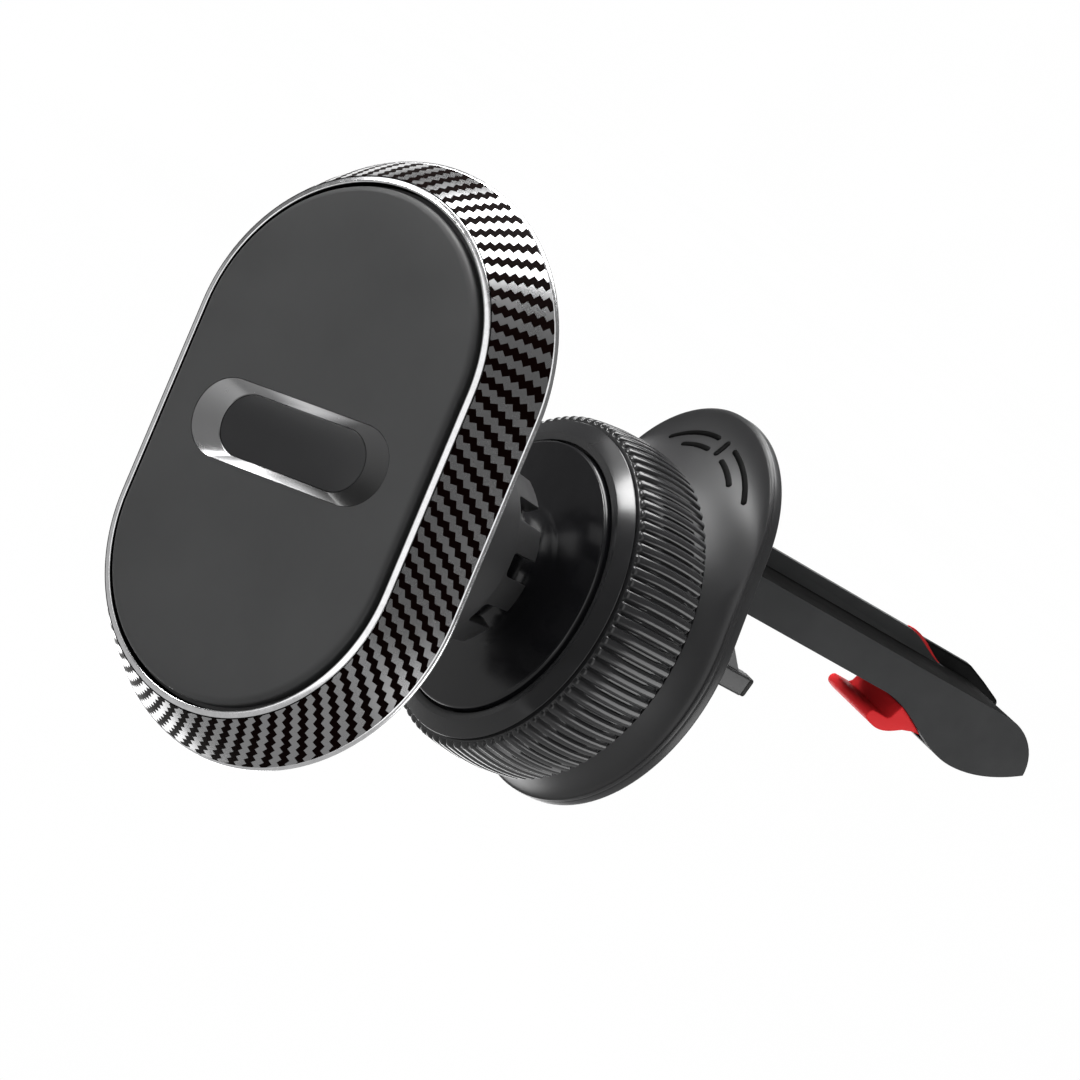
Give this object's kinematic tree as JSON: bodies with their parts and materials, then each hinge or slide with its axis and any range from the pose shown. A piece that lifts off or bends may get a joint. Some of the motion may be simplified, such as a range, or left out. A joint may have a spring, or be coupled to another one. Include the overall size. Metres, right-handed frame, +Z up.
{
  "type": "car phone mount",
  "caption": "Magnetic stadium-shaped phone holder on a ball joint, with a ribbed tightening knob, a tabbed support plate and a hooked arm that clamps onto an air vent blade.",
  "frame": {"origin": "on the knob's axis, in the plane where the two feet press on the vent", "axes": "+Y runs into the vent along the hook arm, -Y faces the driver, +X to the driver's right, +Z up"},
  "size_m": [0.0552, 0.1316, 0.0691],
  "materials": {
    "pad": "soft-touch matte",
    "bright_trim": "satin bright metal",
    "badge": "fine matte",
    "carbon": "clear-coated carbon twill",
    "housing": "satin moulded",
    "joint_plastic": "polished moulded",
    "knob_plastic": "satin moulded",
    "plate_plastic": "semi-gloss moulded",
    "hook_plastic": "fine matte moulded",
    "jaw_rubber": "soft silicone",
    "foot_rubber": "matte",
    "steel": "zinc plated",
    "magnet": "nickel plated",
    "washer_plastic": "slippery natural nylon",
    "seat_plastic": "matte"
  },
  "bodies": {
    "base": {"ball_stud": "joint_plastic", "hub": "housing", "hub_bolt": "steel", "support_plate": "plate_plastic", "back_plate": "plate_plastic", "plate_screws": "steel", "foot_tips": "foot_rubber", "thrust_washer": "washer_plastic"},
    "seat": {"ball_seat": "seat_plastic"},
    "cushion": {"seat_cushion": "foot_rubber"},
    "head": {"phone_pad": "pad", "badge_trim": "bright_trim", "badge_insert": "badge", "front_rim": "bright_trim", "carbon_sleeve": "carbon", "rear_rim": "bright_trim", "magnet_tray": "housing", "magnets": "magnet", "yoke_plate": "steel", "rear_cover": "housing", "head_screws": "steel", "socket_collet": "housing", "collet_screws": "steel"},
    "knob": {"grip_ring": "knob_plastic", "knob_nut": "housing", "knob_bezel": "knob_plastic"},
    "hook": {"hook_carrier": "housing", "hook_arm": "hook_plastic", "hook_cheek": "joint_plastic", "jaw": "jaw_rubber", "jaw_pin": "steel", "arm_screws": "steel"}
  },
  "joints": [
    {"name": "head_yaw", "type": "hinge", "parent": "base", "child": "seat", "pos_m": [0, -0.04, 0], "axis": [0, 0, 1], "range_deg": [-45, 8]},
    {"name": "head_pitch", "type": "hinge", "parent": "seat", "child": "cushion", "pos_m": [0, -0.04, 0], "axis": [0.9379, 0.3469, 0], "range_deg": [-22, 25]},
    {"name": "head_spin", "type": "hinge", "parent": "cushion", "child": "head", "pos_m": [0, -0.04, 0], "axis": [0.3465, -0.9367, 0.0506], "continuous": true},
    {"name": "knob_turn", "type": "hinge", "parent": "base", "child": "knob", "pos_m": [0, -0.02, 0], "axis": [0, 1, 0], "range_deg": [-390, 375]},
    {"name": "hook_slide", "type": "slide", "parent": "base", "child": "hook", "axis": [0, -1, 0], "range_m": [-0.0044, 0.0042]}
  ],
  "couplings": [
    {"joint": "hook_slide", "follows": "knob_turn", "m_per_rad": 0.00063662}
  ]
}
